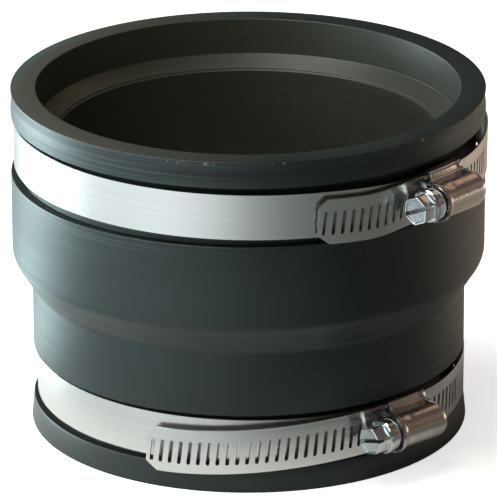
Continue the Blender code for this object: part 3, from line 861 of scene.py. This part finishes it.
def make_head():
    """The hexagon head alone, with its recess, as a bmesh."""
    shape = bmesh.new()
    corner = HEAD_FLATS / 2 / math.cos(math.pi / 6)
    bmesh.ops.create_circle(shape, cap_ends=True, segments=6, radius=corner)
    grown = bmesh.ops.extrude_face_region(shape, geom=shape.faces[:])
    top = [part for part in grown["geom"] if isinstance(part, bmesh.types.BMFace)]
    bmesh.ops.translate(shape, verts=top[0].verts, vec=(0, 0, HEAD_LENGTH))
    bmesh.ops.recalc_face_normals(shape, faces=shape.faces)
    corners = [
        edge
        for edge in shape.edges
        if abs(edge.verts[0].co.z - edge.verts[1].co.z) > HEAD_LENGTH / 2
    ]
    bmesh.ops.bevel(
        shape,
        geom=corners,
        offset=HEAD_CORNER,
        affect="EDGES",
        segments=4,
        profile=0.5,
        material=-1,
    )
    top = [face for face in shape.faces if face.normal.z > UPWARD]
    bmesh.ops.inset_region(shape, faces=top, thickness=HEAD_RIM, depth=0)
    bmesh.ops.inset_region(shape, faces=top, thickness=RECESS_SLOPE, depth=-HEAD_RECESS)
    sharp = [edge for edge in shape.edges if edge.calc_face_angle(0) > SHARP_ANGLE]
    bmesh.ops.bevel(
        shape,
        geom=sharp,
        offset=HEAD_EDGE,
        affect="EDGES",
        segments=3,
        profile=0.5,
        material=-1,
    )
    lie_down = Matrix.Translation((HEAD_FACE + HEAD_LENGTH, 0, 0))
    lie_down = lie_down @ Matrix.Rotation(-math.pi / 2, 4, "Y")
    bmesh.ops.transform(shape, matrix=lie_down, verts=shape.verts)
    return shape


def solid_from(shape, name):
    """A plain mesh object from a bmesh, for cutting."""
    mesh = bpy.data.meshes.new(name)
    shape.to_mesh(mesh)
    shape.free()
    solid = bpy.data.objects.new(name, mesh)
    bpy.context.scene.collection.objects.link(solid)
    return solid


def slotted_head():
    """The head with the driver's slot cut across its face, as a bmesh."""
    head = solid_from(make_head(), "head")
    slot_shape = bmesh.new()
    bmesh.ops.create_cube(slot_shape, size=1)
    size = (DRIVE_SLOT_DEPTH + HEAD_RIM, DRIVE_SLOT_CUT, DRIVE_SLOT_WIDTH)
    bmesh.ops.scale(slot_shape, verts=slot_shape.verts, vec=size)
    middle = HEAD_FACE + (DRIVE_SLOT_DEPTH - HEAD_RIM) / 2
    bmesh.ops.translate(slot_shape, verts=slot_shape.verts, vec=(middle, 0, 0))
    slot = solid_from(slot_shape, "slot")
    cut = head.modifiers.new("slot", "BOOLEAN")
    cut.operation = "DIFFERENCE"
    cut.object = slot
    cut.solver = "EXACT"
    bpy.context.view_layer.update()
    slotted = head.evaluated_get(bpy.context.evaluated_depsgraph_get()).to_mesh()
    shape = bmesh.new()
    shape.from_mesh(slotted)
    bpy.data.objects.remove(head)
    bpy.data.objects.remove(slot)
    return shape


def add_thread(shape, root):
    """The worm's thread: one trapezium swept along the bar as it turns."""
    half_root, half_crest = (SLOT_PITCH * share for share in THREAD_HALVES)
    begin = WORM_START + half_root + GAP
    turns = (WORM_END - begin - half_root) / SLOT_PITCH
    ridge = [
        (-half_root, root - THREAD_SUNK),
        (-half_crest, WORM_RADIUS),
        (half_crest, WORM_RADIUS),
        (half_root, root - THREAD_SUNK),
    ]
    corners = [shape.verts.new((begin + along, radius, 0)) for along, radius in ridge]
    bmesh.ops.spin(
        shape,
        geom=[shape.faces.new(corners)],
        cent=(0, 0, 0),
        axis=(1, 0, 0),
        dvec=(SLOT_PITCH / THREAD_STEPS, 0, 0),
        angle=math.tau * turns,
        steps=round(THREAD_STEPS * turns),
    )


def make_screw(clamp):
    """Head, flange, collar and worm in one piece, with its differing faces marked."""
    shape = slotted_head()
    neck = HOUSING_MOUTH - NECK_LENGTH
    flange = neck - FLANGE_THICKNESS
    front = [(flange + back, FLANGE_RADIUS - below) for back, below in FLANGE_FRONT]
    behind = [(neck - FLANGE_BACK, FLANGE_RADIUS), (neck, FLANGE_RADIUS - FLANGE_BACK)]
    round_bar(shape, front + behind)
    root = WORM_RADIUS - THREAD_DEPTH
    bar = [
        (neck - GAP, COLLAR_RADIUS),
        (COLLAR_END, COLLAR_RADIUS),
        (NECK_START, NECK_RADIUS),
        (WORM_START - GAP, NECK_RADIUS),
        (WORM_START, root),
        (WORM_END, root),
        (WORM_END + TIP_LENGTH, root * TIP_TAPER),
    ]
    round_bar(shape, bar)
    add_thread(shape, root)
    bmesh.ops.recalc_face_normals(shape, faces=shape.faces)
    struck = shape.faces.layers.float.new("struck_face")
    # Faces of the driver's slot, marked for their painted shade.
    slot_shade = shape.faces.layers.float.new("slot_painted_shade")
    for face in shape.faces:
        spot = face.calc_center_median()
        deep = spot.x - HEAD_FACE
        if face.normal.x < -FORWARD and abs(deep - HEAD_RECESS) < RECESS_PLAY:
            face[struck] = 1.0
        if deep < SLOT_MARK[0] and abs(spot.z) < SLOT_MARK[1]:
            face[slot_shade] = 1.0
    place = housing_place(clamp) @ Matrix.Translation((0, 0, WORM_HEIGHT))
    place = place @ Matrix.Rotation(clamp["screw_turn"], 4, "X")
    bmesh.ops.transform(shape, matrix=place, verts=shape.verts)
    return new_piece(clamp["name"] + "_worm_screw", shape, 32)


def face_mark(tree, place, name):
    """A mark that was set on some of the screw's faces, as a value."""
    node = add_node(tree, "ShaderNodeAttribute", place, attribute_name=name)
    return node.outputs["Fac"]


zinc_plate, tree, shader, coords = new_material("bright_zinc_plate", 1.0, 0.2)
grain = mottle(tree, coords, (-800, 0), 1500.0, 5.0)
wash = mottle(tree, coords, (-800, 300), 320.0, 4.0)
tone = ramp(tree, (-500, 300), wash, [(0.3, ZINC_GREY), (0.7, ZINC_BRIGHT)])
# The face inside the raised rim was struck by the die and left matt and pale.
struck = face_mark(tree, (-800, -300), "struck_face")
pitted = ramp(tree, (-500, 600), grain, [(0.38, FACE_PIT), (0.60, FACE_PALE)])
faced = mix_colour(tree, (-150, 400), struck, tone, pitted)
# The sides and floor of the driver's slot are painted dark grey: painted shade in the slot.
slot_shade = face_mark(tree, (-800, -600), "slot_painted_shade")
slotted = mix_colour(tree, (100, 400), slot_shade, faced, SLOT_PAINTED_SHADE)
tree.links.new(slotted, shader.inputs["Base Color"])
gloss = spread_range(tree, (-500, 0), grain, *NOISE_RANGE, 0.10, 0.20)
matt = spread_range(tree, (-500, -300), struck, 0.0, 1.0, 0.0, 0.38)
rough = plus(tree, (-150, 0), gloss, matt)
tree.links.new(rough, shader.inputs["Roughness"])
deeper = spread_range(tree, (-500, -600), struck, 0.0, 1.0, 0.15, 1.0)
pits = times(tree, (-150, -400), grain, deeper)
raise_relief(tree, shader, pits, 0.5, 0.00010)

for clamp in (UPPER, LOWER):
    screw = make_screw(clamp)
    screw.data.materials.append(zinc_plate)
    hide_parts(clamp["name"] + "_screw")
    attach(screw, clamp["name"] + "_worm")


# The studio: a white floor that runs on as the background, and round it a glowing card painted as a
# table in light and shade: white and bright with the windows' light on the left, shaded in front,
# brown on the right, with a painted shadow of the coupling. It only shows in the metal and in the
# rubber's sheen. Windows on the left, a lamp overhead, the room in front and warm lamps light it.
FLOOR_SIZE = 8.0
FLOOR_WHITE = (0.86, 0.86, 0.86, 1)
FLOOR_GLOW = 0.68
shape = bmesh.new()
bmesh.ops.create_grid(shape, x_segments=1, y_segments=1, size=FLOOR_SIZE / 2)
floor = new_piece("studio_floor", shape)
white, tree, shader, coords = new_material("white_sweep", 0.0, 0.9, 0.1)
shader.inputs["Base Color"].default_value = FLOOR_WHITE
path = add_node(tree, "ShaderNodeLightPath", (100, 400))
glow = add_node(tree, "ShaderNodeMath", (500, 300), operation="MULTIPLY")
glow.inputs[1].default_value = FLOOR_GLOW
tree.links.new(path.outputs["Is Camera Ray"], glow.inputs[0])
shader.inputs["Emission Color"].default_value = (1, 1, 1, 1)
tree.links.new(glow.outputs["Value"], shader.inputs["Emission Strength"])
floor.data.materials.append(white)

TABLE_SIZE = 2.4
TABLE_HEIGHT = 0.0006
# Distances from the middle: where the coupling's shade on the table ends, and where the
# table gives way to the sweep.
TABLE_PAINTED_SHADOW = (0.107, 0.16)
TABLE_FADE = (0.085, 0.115)
# Bearing from the front in degrees, leftwards first, and the painted light the table glows with
# there: bright window pools on the left, painted shade in front and brown on the right.
table_painted_light = [
    (-180, (0.70, 0.66, 0.60)),
    (-152, (0.62, 0.62, 0.60)),
    (-132, (1.00, 1.20, 1.25)),
    (-112, (4.40, 5.70, 5.80)),
    (-98, (3.80, 4.90, 5.00)),
    (-84, (1.25, 1.42, 1.46)),
    (-72, (1.06, 1.17, 1.20)),
    (-58, (1.04, 1.15, 1.17)),
    (-43, (1.15, 1.27, 1.30)),
    (-30, (1.08, 1.18, 1.22)),
    (-15, (0.83, 0.91, 0.93)),
    (0, (0.43, 0.48, 0.48)),
    (14, (0.24, 0.28, 0.27)),
    (30, (0.16, 0.18, 0.165)),
    (60, (0.13, 0.135, 0.12)),
    (85, (0.22, 0.19, 0.16)),
    (105, (0.55, 0.46, 0.38)),
    (125, (0.58, 0.47, 0.37)),
    (150, (0.42, 0.34, 0.27)),
    (180, (0.70, 0.66, 0.60)),
]
shape = bmesh.new()
bmesh.ops.create_grid(shape, x_segments=1, y_segments=1, size=TABLE_SIZE / 2)
bmesh.ops.translate(shape, verts=shape.verts, vec=(0, 0, TABLE_HEIGHT))
table = new_piece("glowing_table_card", shape)
painted_table_card, tree, shader, coords = new_material("table_painted_window_light", 0.0, 1.0, 0.0)
shader.inputs["Base Color"].default_value = (0, 0, 0, 1)
axes = split_axes(tree, coords, (-850, 0))
forward = add_node(tree, "ShaderNodeMath", (-700, -150), operation="MULTIPLY")
forward.inputs[1].default_value = -1.0
tree.links.new(axes["Y"], forward.inputs[0])
bearing = combine(tree, (-550, 0), "ARCTAN2", axes["X"], forward.outputs["Value"])
round_share = spread_range(tree, (-400, 0), bearing, -math.pi, math.pi, 0, 1)
stops = [((angle + 180) / 360, colour) for angle, colour in table_painted_light]
tone = ramp(tree, (-200, 200), round_share, stops)
tree.links.new(tone, shader.inputs["Emission Color"])
away = add_node(tree, "ShaderNodeVectorMath", (-850, -400), operation="LENGTH")
tree.links.new(coords.outputs["Object"], away.inputs[0])
# The glow is dimmed near the coupling: a painted shadow on the table.
shade = spread_range(tree, (-500, 0), away.outputs["Value"], *TABLE_PAINTED_SHADOW, 0.6, 1)
tree.links.new(shade, shader.inputs["Emission Strength"])
clear_near = spread_range(tree, (-500, -400), away.outputs["Value"], *TABLE_FADE, 0, 1)
tree.links.new(clear_near, shader.inputs["Alpha"])
table.data.materials.append(painted_table_card)
table.visible_camera = False
table.visible_diffuse = False
table.visible_transmission = False
table.visible_shadow = False

# Each softbox: its place, width, height, power and colour. All face the sleeve's middle.
SLEEVE_MIDDLE = Vector((0, 0, 0.05))
softboxes = [
    ("window_left", (-0.78, -0.30, 0.42), 0.8, 0.6, 3.6, (0.95, 1.0, 0.98)),
    ("window_behind_left", (-0.70, 0.30, 0.13), 0.50, 0.25, 7.0, (0.88, 1.0, 1.03)),
    ("overhead", (-0.30, -0.12, 0.95), 0.7, 0.5, 6.5, (1.0, 0.98, 0.88)),
    ("room_front", (-0.50, -1.05, 0.80), 0.6, 0.5, 1.6, (0.93, 1.0, 1.0)),
    ("warm_lamp", (0.42, 0.50, 0.62), 0.34, 0.26, 0.15, (1.0, 0.62, 0.38)),
    ("warm_wall", (0.88, 0.16, 0.42), 0.50, 0.24, 0.05, (1.0, 0.66, 0.46)),
    ("low_strip", (0.95, 0.45, 0.06), 0.60, 0.11, 0.70, (1.0, 0.93, 0.82)),
]
for name, place, width, height, power, colour in softboxes:
    lamp = bpy.data.lights.new(name, "AREA")
    lamp.shape = "RECTANGLE"
    lamp.size = width
    lamp.size_y = height
    lamp.energy = power
    lamp.color = colour
    holder = bpy.data.objects.new(name, lamp)
    bpy.context.scene.collection.objects.link(holder)
    holder.location = place
    holder.rotation_euler = (SLEEVE_MIDDLE - Vector(place)).to_track_quat("-Z", "Y").to_euler()

# The room's air: how light each direction is, from the dark right to the light left.
TO_WINDOWS = (-0.90, 0.25, 0.30)
room_tones = [
    (0.0, (0.15, 0.10, 0.075)),
    (0.45, (0.09, 0.08, 0.07)),
    (0.74, (0.105, 0.108, 0.095)),
    (1.0, (0.40, 0.46, 0.47)),
]
air = bpy.data.worlds.new("studio_air")
bpy.context.scene.world = air
air.use_nodes = True
tree = air.node_tree
sky = add_node(tree, "ShaderNodeTexCoord", (-900, 0))
to_left = add_node(tree, "ShaderNodeVectorMath", (-700, 0), operation="DOT_PRODUCT")
tree.links.new(sky.outputs["Generated"], to_left.inputs[0])
to_left.inputs[1].default_value = TO_WINDOWS
lighter = spread_range(tree, (-500, 0), to_left.outputs["Value"], -1, 1, 0, 1)
room = ramp(tree, (-300, 0), lighter, room_tones)
tree.links.new(room, tree.nodes["Background"].inputs["Color"])
bpy.context.scene.view_settings.view_transform = "Standard"


# The camera: a long lens well back, looking down at the coupling by 20 degrees. It is
# rolled by a hair, as the photo is.
CAMERA_DISTANCE = 1.6408
CAMERA_ELEVATION = math.radians(20.22)
PIVOT_HEIGHT = 0.0546
EXTRA_TILT = math.radians(0.0776)
ROLL = math.radians(-0.15)
SENSOR_WIDTH = 36
LENS = 393.9
FARTHEST = 100
camera_data = bpy.data.cameras.new("camera")
camera_data.sensor_width = SENSOR_WIDTH
camera_data.lens = LENS
camera_data.clip_end = FARTHEST
camera = bpy.data.objects.new("camera", camera_data)
bpy.context.scene.collection.objects.link(camera)
camera.location = (
    0,
    -CAMERA_DISTANCE * math.cos(CAMERA_ELEVATION),
    CAMERA_DISTANCE * math.sin(CAMERA_ELEVATION) + PIVOT_HEIGHT,
)
look = Matrix.Rotation(math.pi / 2 - CAMERA_ELEVATION - EXTRA_TILT, 4, "X")
camera.rotation_euler = (look @ Matrix.Rotation(ROLL, 4, "Z")).to_euler()
bpy.context.scene.camera = camera
